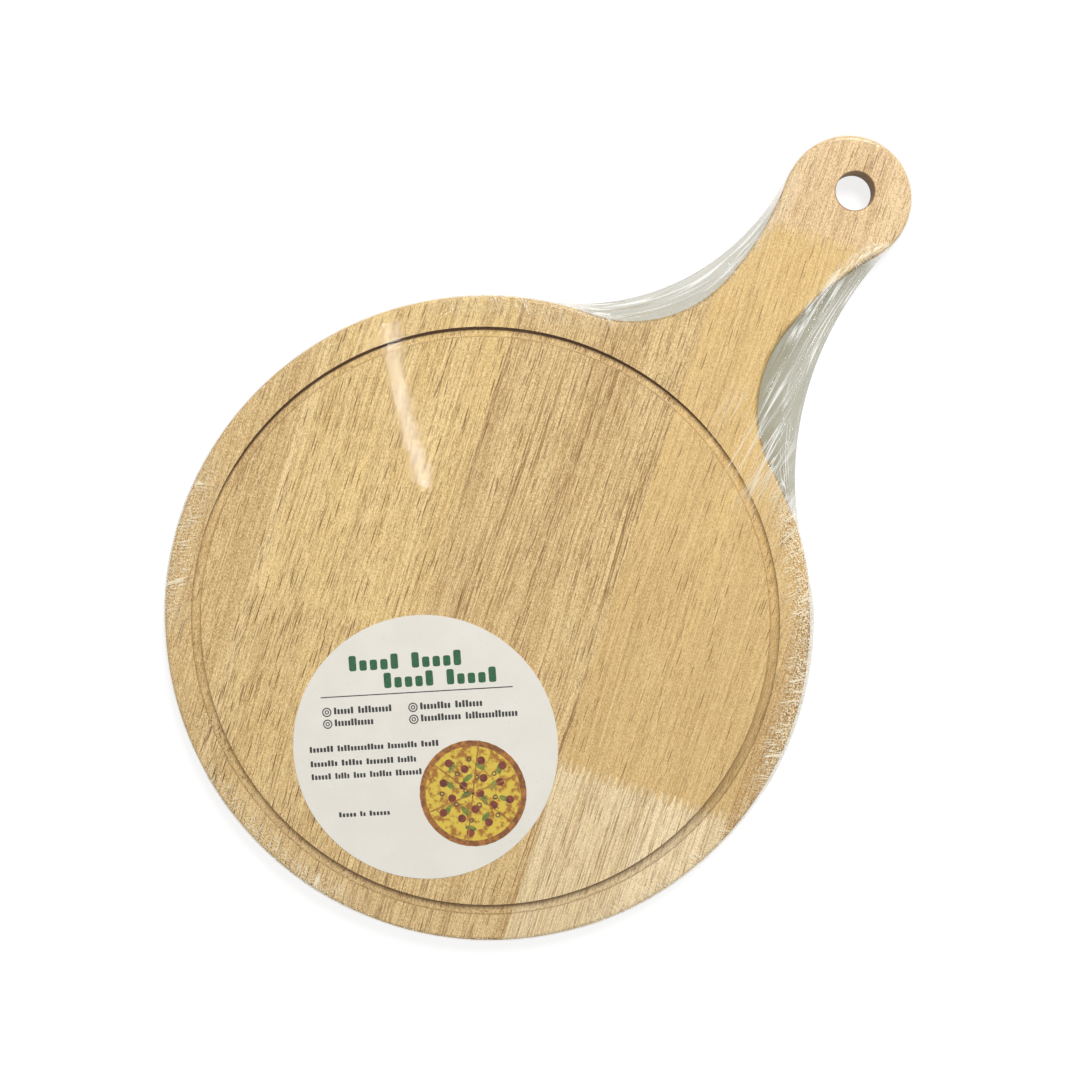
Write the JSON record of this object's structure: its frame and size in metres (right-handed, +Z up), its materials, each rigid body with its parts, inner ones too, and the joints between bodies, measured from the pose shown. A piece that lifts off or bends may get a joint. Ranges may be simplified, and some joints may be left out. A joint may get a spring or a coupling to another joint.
{
  "type": "pizza serving board",
  "caption": "Round edge-glued wooden pizza board with a necked handle, a hanging hole and a ring groove, with a paper label, in clear shrink film.",
  "frame": {"origin": "centre of the round board on the surface that the wrapped board rests on", "axes": "+Y from the disc's centre along the handle to its tip, +Z up out of the grooved face, +X to the right of the handle seen from above"},
  "size_m": [0.3012, 0.4327, 0.0131],
  "materials": {
    "wood_left": "bare rubberwood, sanded, grey-tan",
    "wood_flecked": "bare rubberwood, sanded, pale with sparse dark pores",
    "wood_lined": "bare rubberwood, sanded, tan with dense dark pore lines",
    "wood_pink": "bare rubberwood, sanded, pinkish with fine grain",
    "wood_yellow": "bare rubberwood, sanded, smooth yellow",
    "wood_pale": "bare rubberwood, sanded, pale",
    "wood_right": "bare rubberwood, sanded, straight grain",
    "label_paper": null,
    "film": "clear shrink film, glossy, wrinkled at its edges"
  },
  "bodies": {
    "root": {"stave_1": "wood_left", "stave_2_upper": "wood_flecked", "stave_2_lower": "wood_flecked", "stave_3": "wood_lined", "stave_4_handle": "wood_pink", "stave_4_middle": "wood_yellow", "stave_4_lower": "wood_pale", "stave_5": "wood_right", "label": "label_paper", "film_upper": "film", "film_lower": "film"}
  },
  "joints": []
}
